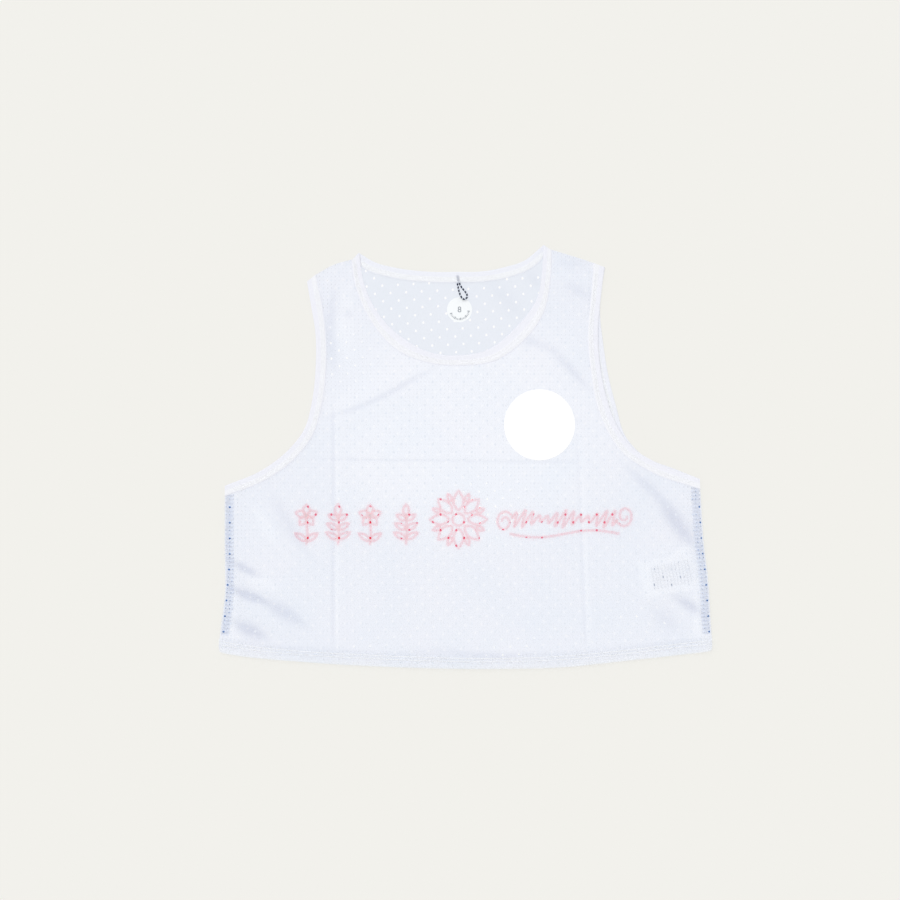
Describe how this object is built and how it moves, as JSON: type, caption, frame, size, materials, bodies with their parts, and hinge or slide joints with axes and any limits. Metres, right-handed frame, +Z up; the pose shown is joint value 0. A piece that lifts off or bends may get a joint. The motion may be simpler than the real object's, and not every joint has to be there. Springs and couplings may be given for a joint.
{
  "type": "running singlet, laid flat",
  "caption": "Cropped boxy racing vest in white perforated knit, laid flat front up, with bound neck and armholes, turned hem, chest disc and locker loop.",
  "frame": {"origin": "middle of the vest's outline, on the surface that it lies on", "axes": "+X to the wearer's left, across the vest; +Y towards the neck; +Z up, out of the front"},
  "size_m": [0.493, 0.4236, 0.006],
  "materials": {
    "perforated knit": "matt, slightly see-through, with eyelets",
    "rib binding": "matt fine rib",
    "blue overlock": "matt thread over white knit",
    "label satin": "smooth satin",
    "disc film": "matt",
    "loop cord": "braided, navy with pale flecks"
  },
  "bodies": {
    "root": {"front_panel": "perforated knit", "back_panel": "perforated knit", "neck_binding_front": "rib binding", "neck_binding_back": "rib binding", "armhole_binding_front_right": "rib binding", "armhole_binding_front_left": "rib binding", "armhole_binding_back_right": "rib binding", "armhole_binding_back_left": "rib binding", "side_seam_right": "blue overlock", "side_seam_left": "blue overlock", "care_label": "label satin", "size_label": "label satin", "chest_patch": "disc film", "neck_loop": "loop cord"}
  },
  "joints": []
}
